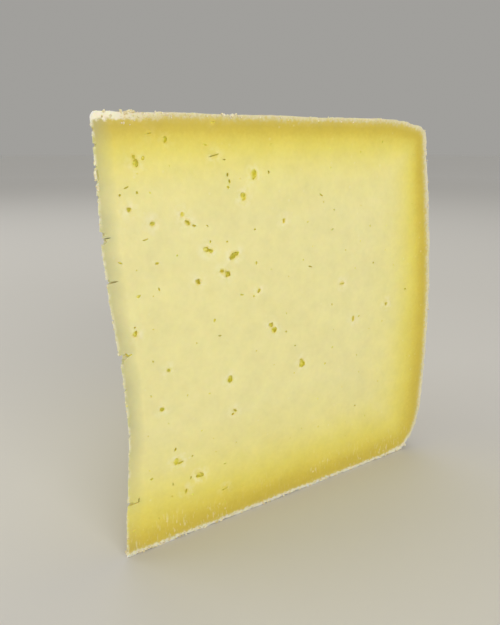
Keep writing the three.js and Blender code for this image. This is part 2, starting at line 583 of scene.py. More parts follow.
@dataclass(frozen=True)
class Paste:
    """Semi-hard cheese paste, cut with a knife.

    The cut leaves a waxy satin face that light sinks a little way into. The paste is pale in the
    middle, dries to gold towards the rind, greys where the inner edge is thin, and the rind itself
    shows as a pale band. Colours run from the outside in, by depth in millimetres.
    """

    bands: tuple[tuple[float, str], ...] = (
        (0.0, "dbd2b0"), (0.6, "d5cb9b"), (1.1, "d1c37c"), (1.6, "d0bd5c"), (2.6, "cfb947"),
        (4.6, "d5c04a"), (7.0, "dfce5a"), (10.5, "e5d86c"), (15.0, "e8dd82"), (22.0, "e9e096"),
        (34.0, "e9e1a1"),
    )
    rind_part: float = 3.0
    pace_low: float = 0.72
    pace_high: float = 1.4
    thin_edge: str = "a5a782"
    edge_line: str = "d9d3b8"
    crumb: str = "f3edcf"
    flour: str = "f0ead2"
    # Colours of painted light round the eyes: a golden glow at the lip and a pale highlight.
    painted_lip_glow: str = "e2cd52"
    painted_eye_highlight: str = "f3ecc6"
    roughness: float = 0.46
    scatter_share: float = 0.55
    scatter_depth_mm: float = 2.4

    def build(self) -> bpy.types.Material:
        """Makes the material from the depths noted on the mesh.

        Returns:
            The material.
        """
        mix = Recipe("semi_hard_cheese_paste")
        depth, edge, eye, floury = (
            add_node(mix.tree, "ShaderNodeAttribute", attribute_name=name).outputs["Fac"]
            for name in ("under_rind_mm", "from_edge_mm", "from_eye_mm", "floury"))
        worked = self._wandering(mix, depth)
        reach = self.bands[-1][0]
        colour = mix.ramp(mix.maths("DIVIDE", worked, reach), [(d / reach, c) for d, c in self.bands])
        colour = self._clouded(mix, colour)
        smears = self._smears(mix, depth)
        colour = mix.blend(colour, self.crumb, smears)
        # Paints light round the larger eyes: a pale highlight and a golden glow at their lips.
        colour = self._painted_light_near_eyes(mix, depth, eye, colour)
        colour = self._near_edge(mix, edge, colour)
        flour = mix.maths("MULTIPLY", floury, mix.between(worked, 0.9, 1.7, 1.0, 0.0))
        colour = mix.blend(colour, self.flour, flour)
        rough = mix.between(mix.pattern(1.6, 4.0), 0.0, 1.0, self.roughness - 0.08, self.roughness + 0.1)
        rough = mix.maths("ADD", rough, mix.between(worked, 1.2, 2.0, 0.3, 0.0))
        relief = mix.relief(smears, 0.5, 0.12)
        relief = mix.relief(mix.pattern(2.5, 5.0), 0.55, 0.16, relief)
        return mix.finish(colour, rough, relief, self.scatter_share, self.scatter_depth_mm)

    def _wandering(self, mix: Recipe, depth: Socket) -> Socket:
        """Lets the bands wander: broad swings of 14 mm that grow inwards, and crumbly ones by the rind.

        The gold reaches further in near the base, where the whey sank, than under the top.

        Args:
            mix: The material in the making.
            depth: Depth under the rind in millimetres.

        Returns:
            The depth that picks the colour.
        """
        inner = mix.maths("MAXIMUM", mix.maths("SUBTRACT", depth, self.rind_part), 0.0)
        pace = mix.between(mix.height(), 10 * MM, 110 * MM, self.pace_low, self.pace_high)
        paced = mix.maths("MULTIPLY_ADD", inner, pace, mix.maths("MINIMUM", depth, self.rind_part))
        broad = mix.maths("SUBTRACT", mix.pattern(14.0), 0.5)
        give = mix.maths("MULTIPLY_ADD", depth, 0.2, 0.6)
        swung = mix.maths("MULTIPLY_ADD", broad, give, paced)
        crumbly = mix.maths("SUBTRACT", mix.pattern(0.9, 4.0), 0.5)
        return mix.maths("MULTIPLY_ADD", crumbly, 2.6, swung)

    def _clouded(self, mix: Recipe, colour: Socket) -> Socket:
        """Adds what pressed curd leaves: faint cells of 5 mm, a fine mottle and a soft cloudiness.

        Args:
            mix: The material in the making.
            colour: The colour so far.

        Returns:
            The clouded colour.
        """
        tone = mix.maths("MULTIPLY_ADD", mix.cells(5.0, "SMOOTH_F1"), 0.08, 0.87)
        tone = mix.maths("MULTIPLY_ADD", mix.pattern(20.0, 3.0), 0.07, tone)
        tone = mix.maths("MULTIPLY_ADD", mix.pattern(1.6, 4.0), 0.1, tone)
        return mix.shaded(colour, tone)

    def _smears(self, mix: Recipe, depth: Socket) -> Socket:
        """Finds where the knife dragged crumbs up from the base rind: clumps of short hairs, and specks.

        Args:
            mix: The material in the making.
            depth: Depth under the rind in millimetres.

        Returns:
            How much crumb colour shows, 0 to 1.
        """
        low = mix.between(mix.height(), 2.0 * MM, 13.0 * MM, 0.8, 0.0)
        low = mix.maths("MULTIPLY", low, mix.between(mix.pattern(16.0), 0.46, 0.6, 0.15, 1.0))
        scale = (1 / (0.6 * MM), 1 / (0.6 * MM), 1 / (2.6 * MM))
        upright = add_node(mix.tree, "ShaderNodeMapping", {"Vector": mix.place, "Scale": scale}).outputs[0]
        inputs = {"Vector": upright, "Scale": 1.0, "Detail": 3.0, "Distortion": 0.6}
        hairs = add_node(mix.tree, "ShaderNodeTexNoise", inputs).outputs["Fac"]
        hairs = mix.maths("MULTIPLY", mix.between(hairs, 0.58, 0.74, 0.0, 1.0), low)
        dots = mix.between(mix.cells(3.2), 0.06, 0.15, 1.0, 0.0)
        patchy = mix.between(mix.pattern(9.0), 0.5, 0.62, 0.0, 0.22)
        dots = mix.maths("MULTIPLY", dots, mix.maths("MULTIPLY_ADD", low, 0.5, patchy))
        deep = mix.between(depth, 1.4, 2.6, 0.0, 1.0)
        return mix.maths("MULTIPLY", mix.maths("MAXIMUM", hairs, dots), deep)

    def _painted_light_near_eyes(self, mix: Recipe, depth: Socket, eye: Socket, colour: Socket) -> Socket:
        """Paints light into the colour round an eye: a golden glow at its lip, as if light shone through the
        paste there, and a pale painted highlight around it.

        Args:
            mix: The material in the making.
            depth: Depth under the rind in millimetres. The painted highlight is weaker in the dry gold zone.
            eye: Distance from the nearest larger eye, in millimetres.
            colour: The colour so far.

        Returns:
            The colour with the painted glow and the painted highlight.
        """
        broken = mix.between(mix.pattern(1.8, 3.0), 0.42, 0.62, 0.0, 1.0)
        # Painted highlight: a pale ring painted around each larger eye, weaker in the gold zone.
        painted_highlight = mix.maths("MULTIPLY", mix.between(eye, 0.4, 2.6, 0.6, 0.0), broken)
        painted_highlight = mix.maths("MULTIPLY", painted_highlight, mix.between(depth, 6.0, 20.0, 0.1, 1.0))
        colour = mix.blend(colour, self.painted_eye_highlight, painted_highlight)
        # Painted glow: golden colour painted at each eye's lip, as if light shone through the thin paste
        # there.
        return mix.blend(colour, self.painted_lip_glow, mix.between(eye, 0.0, 0.55, 0.55, 0.0))

    def _near_edge(self, mix: Recipe, edge: Socket, colour: Socket) -> Socket:
        """Greys the last few millimetres before the inner edge, less so low down, and pales the edge.

        Args:
            mix: The material in the making.
            edge: Distance from the inner edge in millimetres.
            colour: The colour so far.

        Returns:
            The colour with its grey zone and its broken pale line.
        """
        wander = mix.maths("SUBTRACT", mix.pattern(7.0, 3.0), 0.5)
        near = mix.maths("MULTIPLY_ADD", wander, 2.4, edge)
        rising = mix.between(mix.height(), 12.0 * MM, 40.0 * MM, 0.35, 1.0)
        grey = mix.maths("MULTIPLY", mix.between(near, 0.0, 4.8, 0.7, 0.0), rising)
        colour = mix.blend(colour, self.thin_edge, grey)
        broken = mix.between(mix.pattern(2.2, 4.0), 0.4, 0.56, 0.0, 1.0)
        line = mix.maths("MULTIPLY", mix.between(edge, 0.35, 0.85, 0.85, 0.0), broken)
        return mix.blend(colour, self.edge_line, line)


@dataclass(frozen=True)
class EyeWall:
    """The wall of an eye: moist, smooth paste inside a little gap in the curd.

    It never met the knife or the air, so it is glossier and a deeper gold than the cut face.
    """

    pale: str = "f0ea7a"
    deep: str = "d6ca42"
    roughness: float = 0.3

    def build(self) -> bpy.types.Material:
        """Makes the material.

        Returns:
            The material.
        """
        mix = Recipe("moist_eye_wall")
        mottle = mix.pattern(1.2, 3.0)
        colour = mix.ramp(mottle, [(0.35, self.deep), (0.65, self.pale)])
        rough = mix.between(mottle, 0.0, 1.0, self.roughness - 0.08, self.roughness + 0.12)
        return mix.finish(colour, rough, mix.relief(mix.pattern(0.5), 0.5, 0.06), 0.5, 1.5)


@dataclass(frozen=True)
class NaturalRind:
    """Natural rind, brushed and aged on boards.

    It is dry and matt: cream to beige-grey, clouded with pale bloom and browner where it was handled,
    with fine wrinkles and a sandy grain.
    """

    cream: str = "e0d4b0"
    beige: str = "cebe98"
    brown: str = "a99064"
    bloom: str = "e4decb"
    roughness: float = 0.82

    def build(self) -> bpy.types.Material:
        """Makes the material.

        Returns:
            The material.
        """
        mix = Recipe("natural_rind")
        spots = mix.pattern(5.0, 5.0, 0.6)
        sand = mix.pattern(0.7, 3.0)
        tone = mix.maths("MULTIPLY", spots, 0.45)
        tone = mix.maths("MULTIPLY_ADD", mix.pattern(26.0, 6.0, 1.2), 0.55, tone)
        stops = [(0.3, self.brown), (0.43, self.beige), (0.56, self.cream), (0.7, self.bloom)]
        colour = mix.ramp(tone, stops)
        colour = mix.shaded(colour, mix.maths("MULTIPLY_ADD", sand, 0.5, 0.74))
        colour = mix.blend(colour, self.bloom, mix.between(mix.pattern(9.0, 7.0, 0.3), 0.5, 0.68, 0.0, 0.4))
        relief = mix.relief(mix.pattern(3.2, 5.0, 1.5), 0.9, 0.7)
        relief = mix.relief(mix.cells(2.4), 0.5, 0.3, relief)
        relief = mix.relief(sand, 0.7, 0.12, relief)
        rough = mix.between(spots, 0.0, 1.0, self.roughness - 0.08, self.roughness + 0.1)
        return mix.finish(colour, rough, relief, 0.12, 1.0)


@dataclass(frozen=True)
class RindCrumb:
    """Crumbs that the knife broke off the rind: dry, pale and floury."""

    light: str = "efe6c6"
    dark: str = "d6c590"

    def build(self) -> bpy.types.Material:
        """Makes the material.

        Returns:
            The material.
        """
        mix = Recipe("rind_crumb")
        mottle = mix.pattern(1.0, 3.0)
        colour = mix.ramp(mottle, [(0.35, self.dark), (0.6, self.light)])
        rough = mix.between(mottle, 0.0, 1.0, 0.7, 0.9)
        return mix.finish(colour, rough, mix.relief(mix.pattern(0.3), 0.6, 0.06), 0.3, 1.0)


# ---- geometry-node trees ----


@dataclass
class ScatterTree:
    """A geometry-node tree that sets small rough shapes on marked places and scattered ones.

    The tree takes points that carry their own size and turn, adds more at random on a surface, puts
    a round shape on each, roughens them all and gives them one material.
    """

    name: str
    tree: bpy.types.GeometryNodeTree = field(init=False)
    given: bpy.types.bpy_prop_collection = field(init=False)

    def __post_init__(self) -> None:
        """Builds the tree as soon as it has a name."""
        self.tree = bpy.data.node_groups.new(self.name, "GeometryNodeTree")
        kinds = {
            "Geometry": "Geometry", "Surface": "Object", "Spacing": "Float", "Density": "Float",
            "Smallest": "Vector", "Largest": "Vector", "Keep Clear": "Float", "Roughen": "Float",
            "Seed": "Int", "Finish": "Material", "Facets": "Int", "Grain": "Float",
        }
        for name, kind in kinds.items():
            self.tree.interface.new_socket(name, in_out="INPUT", socket_type="NodeSocket" + kind)
        self.tree.interface.new_socket("Geometry", in_out="OUTPUT", socket_type="NodeSocketGeometry")
        self.given = self._add("NodeGroupInput").outputs
        joined = self._add("GeometryNodeJoinGeometry").inputs["Geometry"]
        for shapes in (self._marked(), self._scattered()):
            self.tree.links.new(shapes, joined)
        real = self._add("GeometryNodeRealizeInstances", {"Geometry": joined.node.outputs[0]}).outputs[0]
        rough = self._roughened(real)
        merged = self._add(
            "GeometryNodeMeshBoolean", {"Mesh 2": rough, "Self Intersection": True},
            operation="UNION", solver="EXACT").outputs["Mesh"]
        inputs = {"Geometry": merged, "Material": self.given["Finish"]}
        finished = self._add("GeometryNodeSetMaterial", inputs)
        self._add("NodeGroupOutput", {"Geometry": finished.outputs[0]})

    def _add(self, kind: str, inputs: Mapping[str | int, Any] | None = None, **settings: Any) -> Node:
        """Adds one node to the tree."""
        return add_node(self.tree, kind, inputs, **settings)

    def _noted(self, name: str, kind: str = "FLOAT") -> Socket:
        """Reads what is noted under a name."""
        return self._add("GeometryNodeInputNamedAttribute", {"Name": name}, data_type=kind).outputs[0]

    def _shapes(self, points: Socket, turn: Socket, size: Socket, facets: Socket | int) -> Socket:
        """Sets a round shape on each point, and notes how thin it is, so that roughening suits it.

        Args:
            points: The points.
            turn: How each shape is turned.
            size: Its half sizes.
            facets: How finely the shapes are divided.

        Returns:
            The shapes, as instances.
        """
        ball = self._add("GeometryNodeMeshIcoSphere", {"Radius": 1.0, "Subdivisions": facets}).outputs["Mesh"]
        inputs = {"Points": points, "Instance": ball, "Rotation": turn, "Scale": size}
        shapes = self._add("GeometryNodeInstanceOnPoints", inputs).outputs[0]
        scale = self._add("GeometryNodeInputInstanceScale").outputs[0]
        parts = self._add("ShaderNodeSeparateXYZ", {0: scale}).outputs
        thin = self._add("ShaderNodeMath", {0: parts[0], 1: parts[2]}, operation="MINIMUM").outputs[0]
        return self._add(
            "GeometryNodeStoreNamedAttribute", {"Geometry": shapes, "Name": "thinness", "Value": thin},
            data_type="FLOAT", domain="INSTANCE").outputs[0]

    def _marked(self) -> Socket:
        """Sets shapes on the given points, by the size and turn that they carry.

        Returns:
            The shapes, as instances.
        """
        size = self._noted("shape_size", "FLOAT_VECTOR")
        turn = self._add("FunctionNodeEulerToRotation", {0: self._noted("shape_turn", "FLOAT_VECTOR")})
        return self._shapes(self.given["Geometry"], turn.outputs[0], size, self.given["Facets"])

    def _scattered(self) -> Socket:
        """Strews shapes at random over the surface, clear of the marked ones.

        Returns:
            The shapes, as instances.
        """
        given = self.given
        surface = self._add(
            "GeometryNodeObjectInfo", {"Object": given["Surface"]}, transform_space="ORIGINAL")
        strewn = self._add(
            "GeometryNodeDistributePointsOnFaces",
            {"Mesh": surface.outputs["Geometry"], "Distance Min": given["Spacing"],
             "Density Max": given["Density"], "Density Factor": self._noted("scatter_zone"),
             "Seed": given["Seed"]}, distribute_method="POISSON").outputs
        gap = self._add("GeometryNodeProximity", {"Geometry": given["Geometry"]}, target_element="POINTS")
        close = self._add(
            "FunctionNodeCompare", {0: gap.outputs["Distance"], 1: given["Keep Clear"]},
            data_type="FLOAT", operation="LESS_THAN").outputs[0]
        clear = self._add(
            "GeometryNodeDeleteGeometry", {"Geometry": strewn["Points"], "Selection": close},
            domain="POINT").outputs[0]
        inputs = {0: given["Smallest"], 1: given["Largest"], "Seed": given["Seed"]}
        size = self._add("FunctionNodeRandomValue", inputs, data_type="FLOAT_VECTOR").outputs[0]
        spin = self._add("FunctionNodeRandomValue", {2: 0.0, 3: math.tau, "Seed": 7}, data_type="FLOAT")
        about = self._add("ShaderNodeCombineXYZ", {"Z": spin.outputs[1]}).outputs[0]
        about = self._add("FunctionNodeEulerToRotation", {0: about}).outputs[0]
        inputs = {"Rotation": strewn["Rotation"], "Rotate By": about}
        turned = self._add("FunctionNodeRotateRotation", inputs, rotation_space="LOCAL").outputs[0]
        return self._shapes(clear, turned, size, 2)

    def _roughened(self, shapes: Socket) -> Socket:
        """Pushes the shapes' surfaces in and out, in proportion to how thin they are.

        Args:
            shapes: The real shapes.

        Returns:
            The roughened shapes.
        """
        inputs = {"Scale": self.given["Grain"], "Detail": 2.0}
        lumps = self._add("ShaderNodeTexNoise", inputs).outputs["Color"]
        middle = (0.5, 0.5, 0.5)
        centred = self._add("ShaderNodeVectorMath", {0: lumps, 1: middle}, operation="SUBTRACT").outputs[0]
        inputs = {0: self._noted("thinness"), 1: self.given["Roughen"]}
        amount = self._add("ShaderNodeMath", inputs, operation="MULTIPLY").outputs[0]
        push = self._add("ShaderNodeVectorMath", {0: centred, "Scale": amount}, operation="SCALE").outputs[0]
        return self._add("GeometryNodeSetPosition", {"Geometry": shapes, "Offset": push}).outputs[0]

    def run(
        self, places: Sequence[Array], sizes: Sequence[Any], turns: Sequence[Any], body: Thing,
        finish: bpy.types.Material, **values: Any,
    ) -> Thing:
        """Runs the tree on marked points and keeps the result as a plain mesh.

        Args:
            places: Where the marked shapes stand, in millimetres, in groups of N by 3.
            sizes: Their half sizes, N by 3.
            turns: Their turns about X, Y and Z in radians, N by 3.
            body: The surface to strew more shapes on.
            finish: The shapes' material.
            **values: The tree's other inputs, by name. Without a density, nothing is strewn.

        Returns:
            An object that holds the shapes.
        """
        mesh = bpy.data.meshes.new(self.name)
        mesh.from_pydata([tuple(p) for p in np.vstack(places)], [], [])
        note(mesh, "shape_size", np.vstack(sizes))
        note(mesh, "shape_turn", np.vstack(turns))
        points = put(self.name, mesh)
        modifier = points.modifiers.new(self.name, "NODES")
        modifier.node_group = self.tree
        plain = {"Spacing": 1.0, "Density": 0.0, "Smallest": (0.1,) * 3, "Largest": (0.1,) * 3}
        plain |= {"Keep Clear": 0.0, "Seed": 1, "Surface": body, "Finish": finish}
        plain |= {name.replace("_", " ").title(): value for name, value in values.items()}
        for item in self.tree.interface.items_tree:
            if item.in_out == "INPUT" and item.name in plain:
                modifier[item.identifier] = plain[item.name]
        shapes = plain_mesh(points)
        bpy.data.objects.remove(points)
        return shapes


def plain_mesh(source: Thing) -> Thing:
    """Copies an object with its modifiers worked in.

    Args:
        source: The object as it stands.

    Returns:
        A new object with a plain mesh and the same materials.
    """
    bpy.context.view_layer.update()
    graph = bpy.context.evaluated_depsgraph_get()
    mesh = bpy.data.meshes.new_from_object(source.evaluated_get(graph), depsgraph=graph)
    mesh.name = source.name + "_shape"
    return put(source.name + "_plain", mesh)


# ---- the wedge before its eyes and chips ----


@dataclass
class Body:
    """The solid wedge: two cut faces, the flat base, the heel and the top, closed and roughened.

    Sizes are in millimetres. Each surface is filled with small triangles, finer along its rims.
    """

    cut: Cut
    edge_step: float = 0.5
    rim_step: float = 0.6
    beyond_rim: float = 2.0
    rim_width: float = 3.2
    inner_step: float = 1.5
    lump: float = 0.32
    cut_wave: float = 0.09
    crumble: float = 0.34
    jitter: float = 0.12
    face_seed: int = 11
    cap_seed: int = 21
    welded: float = 1e-4
    fill_tolerance: float = 1e-6
    sunk: float = 0.2
    skin: float = 2.5
    tip_calm: float = 8.0
    rim_reach: float = 0.9
    rind_lumps: tuple[Layer, ...] = ((1.0, 17, 1), (0.7, 5.5, 2), (0.3, 2.1, 3))
    cut_lumps: tuple[Layer, ...] = ((1.0, 24, 4), (0.35, 6, 5))
    crumble_share: float = 0.35
    crumble_most: float = 1.4
    off_rind: float = 0.8
    off_cut: float = 0.5
    pore_depth: float = 0.3
    pore_margin: float = 3.0

    def build(self, materials: Sequence[bpy.types.Material]) -> Thing:
        """Builds the closed body.

        Args:
            materials: The wedge's materials, in the order of Slot.

        Returns:
            The body, in millimetres about the wheel's axis.
        """
        wheel = self.cut.wheel
        ups = np.linspace(0, wheel.height, round(wheel.height / self.edge_step) + 1)
        edge = self.cut.edge(ups)
        angles = self._angles()
        shell = bmesh.new()
        for side in Side:
            self._add_face(shell, side, ups, edge)
        self._add_cap(shell, wheel.base_radius, 0.0, angles)
        self._add_cap(shell, wheel.crown_start, wheel.height, angles)
        self._add_heel(shell, angles)
        bmesh.ops.remove_doubles(shell, verts=shell.verts, dist=self.welded)
        bmesh.ops.recalc_face_normals(shell, faces=shell.faces)
        mesh = as_mesh(shell, bpy.data.meshes.new("wedge_body"))
        for material in materials:
            mesh.materials.append(material)
        self._roughen(mesh)
        return put("wedge_body", mesh)

    def _angles(self) -> Array:
        """Angles round the heel, finer next to the two cut faces.

        Returns:
            The angles in radians, from the right face to the left one.
        """
        half = self.cut.angle / 2
        near = self.rim_width / self.cut.wheel.foot_radius
        fine = np.linspace(half - near, half, round(self.rim_width / self.rim_step) + 1)[1:]
        count = round(2 * (half - near) * self.cut.wheel.foot_radius / self.inner_step)
        middle = np.linspace(-(half - near), half - near, count + 1)
        return np.concatenate([-fine[::-1], middle, fine])

    def _inner_points(self, low: Array, high: Array, depth: Callable[[Array], Array], seed: int) -> Array:
        """Strews points over a flat patch, close together near its outline.

        Args:
            low: The patch's lowest corner.
            high: Its highest corner.
            depth: Gives each point's distance inside the outline, negative outside.
            seed: Fixes the jitter.

        Returns:
            Points inside the outline, N by 2.
        """
        rng = np.random.default_rng(seed)
        kept = []
        for step, start, end in (
            (self.rim_step, 0.55 * self.rim_step, self.rim_width),
            (self.inner_step, self.rim_width + 0.5 * self.inner_step, math.inf),
        ):
            columns = np.arange(low[0], high[0] + step, step)
            rows = np.arange(low[1], high[1] + step, step * math.sqrt(3) / 2)
            grid = np.stack(np.meshgrid(columns, rows), -1)
            grid[1::2, :, 0] += step / 2
            points = grid.reshape(-1, 2) + rng.uniform(-self.jitter, self.jitter, (grid.size // 2, 2)) * step
            inside = depth(points)
            kept.append(points[(inside > start) & (inside <= end)])
        return np.vstack(kept)

    def _fill(self, outline: Array, inner: Array) -> tuple[Array, Faces]:
        """Fills an outline with triangles.

        Args:
            outline: The outline's points in order, N by 2.
            inner: Points inside it.

        Returns:
            All the points and the triangles between them.
        """
        points = [Vector(p) for p in np.vstack([outline, inner])]
        ring = list(range(len(outline)))
        filled = delaunay_2d_cdt(points, [], [ring], 1, self.fill_tolerance, False)
        triangles = [tuple(face) for face in filled[2]]
        # The filling also bridges hollows in the outline. Only what can be reached from inside is kept.
        walls = {frozenset(pair) for pair in zip(ring, ring[1:] + ring[:1])}
        beside: dict[frozenset, list[int]] = {}
        for number, corners in enumerate(triangles):
            for pair in zip(corners, corners[1:] + corners[:1]):
                beside.setdefault(frozenset(pair), []).append(number)
        first = next(n for n, corners in enumerate(triangles) if max(corners) >= len(outline))
        inside, waiting = {first}, [first]
        while waiting:
            corners = triangles[waiting.pop()]
            for pair in map(frozenset, zip(corners, corners[1:] + corners[:1])):
                fresh = [] if pair in walls else [n for n in beside[pair] if n not in inside]
                inside.update(fresh)
                waiting.extend(fresh)
        return np.array([tuple(p) for p in filled[0]]), [triangles[n] for n in sorted(inside)]

    def _add_triangles(self, shell: Shell, points: Array, faces: Faces, slot: Slot) -> None:
        """Adds faces to the shell.

        Args:
            shell: The shell being built.
            points: Their corners, N by 3.
            faces: Corner numbers of each face.
            slot: The material they show.
        """
        corners = [shell.verts.new(p) for p in points]
        for face in faces:
            made = shell.faces.new([corners[i] for i in face])
            made.material_index = slot

    def _add_face(self, shell: Shell, side: Side, ups: Array, edge: Array) -> None:
        """Adds one cut face.

        Args:
            shell: The shell being built.
            side: Which face.
            ups: Heights of the points on the inner edge.
            edge: How far the inner edge lies inside the axis at those heights.
        """
        wheel = self.cut.wheel
        outline = np.vstack([wheel.section(self.rim_step), np.stack([edge, ups], 1)[-2:0:-1]])
        heel = wheel.heel_section(self.edge_step)
        heel = heel[np.argsort(heel[:, 1], kind="stable")]

        def depth(points: Array) -> Array:
            """Distance inside the section and the inner edge.

            Args:
                points: Places in the section, N by 2.

            Returns:
                The distances, negative outside.
            """
            from_edge = points[:, 0] - np.interp(points[:, 1], ups, edge)
            radii = np.interp(points[:, 1], heel[:, 1], heel[:, 0])
            outside = (points[:, 0] > radii) | (points[:, 1] < 0) | (points[:, 1] > wheel.height)
            return np.minimum(np.where(outside, -1, wheel.under_rind(points)[0]), from_edge)

        reach = np.array([wheel.foot_radius + self.beyond_rim, wheel.height])
        inner = self._inner_points(np.zeros(2), reach, depth, self.face_seed + side.value)
        flat, faces = self._fill(outline, inner)
        edges_here = np.interp(flat[:, 1], ups, edge)
        points = self.cut.on_face(side, flat[:, 0], flat[:, 1], edges_here)
        self._add_triangles(shell, points, faces, Slot.PASTE)

    def _add_cap(self, shell: Shell, radius: float, up: float, angles: Array) -> None:
        """Adds the flat part of the base or the top.

        Args:
            shell: The shell being built.
            radius: How far out it is flat.
            up: Its height.
            angles: Angles of the points along its outer arc.
        """
        half = self.cut.angle / 2
        outs = np.linspace(0, radius, round(radius / self.rim_step) + 1)
        sides = [np.outer(outs, self.cut.direction(side)[:2]) for side in (Side.RIGHT, Side.LEFT)]
        arc = radius * np.stack([np.cos(angles), np.sin(angles)], 1)
        outline = np.vstack([sides[0][:-1], arc, sides[1][-2:0:-1]])

        def depth(points: Array) -> Array:
            """Distance inside the arc and the two straight rims.

            Args:
                points: Places seen from above, N by 2.

            Returns:
                The distances, negative outside.
            """
            reach = np.hypot(points[:, 0], points[:, 1])
            turn = half - np.abs(np.arctan2(points[:, 1], points[:, 0]))
            return np.minimum(radius - reach, reach * np.sin(np.clip(turn, -1.5, 1.5)))

        wide = radius * math.sin(half)
        low, high = np.array([0, -wide]), np.array([radius, wide])
        inner = self._inner_points(low, high, depth, self.cap_seed + int(up > 0))
        flat, faces = self._fill(outline, inner)
        points = np.column_stack([flat, np.full(len(flat), up)])
        self._add_triangles(shell, points, faces, Slot.RIND)

    def _add_heel(self, shell: Shell, angles: Array) -> None:
        """Adds the rounded heel between base and top.

        Args:
            shell: The shell being built.
            angles: Angles of its columns.
        """
        section = self.cut.wheel.heel_section(self.rim_step)
        rows, columns = len(section), len(angles)
        radii, ups = section[:, 0, None], section[:, 1, None]
        grid = np.stack([radii * np.cos(angles), radii * np.sin(angles), ups * np.ones(columns)], -1)
        faces = [
            (i * columns + j, i * columns + j + 1, (i + 1) * columns + j + 1, (i + 1) * columns + j)
            for i in range(rows - 1) for j in range(columns - 1)
        ]
        self._add_triangles(shell, grid.reshape(-1, 3), faces, Slot.RIND)

    def _roughen(self, mesh: bpy.types.Mesh) -> None:
        """Gives the rind its lumps, the cuts their faint waves, and the rims their crumbling.

        Args:
            mesh: The body's mesh, changed in place.
        """
        points = read_points(mesh)
        spot = Placed.of(points, self.cut)
        # The lumps sink in a little more than they stand out.
        lumps = self.lump * (layered(points, *self.rind_lumps) - self.sunk) * fade(spot.under_rind, self.skin)
        waves = self.cut_wave * layered(points, *self.cut_lumps)
        waves *= fade(spot.under_cut, self.skin) * np.clip(spot.radius / self.tip_calm, 0, 1)
        chewed = self.crumble_share + grain(points, 1.7, 6) + 0.5 * grain(points, 0.8, 7)
        chewed = np.clip(chewed, 0, self.crumble_most)
        chewed *= self.crumble * fade(spot.under_rind, self.rim_reach) * fade(spot.under_cut, self.rim_reach)
        moved = points + lumps[:, None] * spot.rind_outward + waves[:, None] * spot.cut_outward
        moved -= chewed[:, None] * (self.off_rind * spot.rind_outward + self.off_cut * spot.cut_outward)
        moved[:, 2] = np.maximum(moved[:, 2], 0)
        mesh.vertices.foreach_set("co", moved.astype(np.float32).ravel())
        on_cut = spot.under_cut < self.pore_depth
        note(mesh, "scatter_zone", on_cut & (spot.under_rind > self.pore_margin))
        mesh.update()


# ---- eyes, chips and crumbs ----


@dataclass(frozen=True)
class Eye:
    """One hole in a cut face, in millimetres: place, size and how far its right end is tipped up."""

    out: float
    up: float
    wide: float
    tall: float
    tip: float = 0.0
    deep: float = 1.2


@dataclass(frozen=True)
class Chip:
    """One bite or crack in the inner edge: sizes and how far in it starts, in millimetres, and its tip."""

    up: float
    deep: float
    opening: float
    tip: float = 0.0
    wide: float = 5.0
    start: float = 0.0


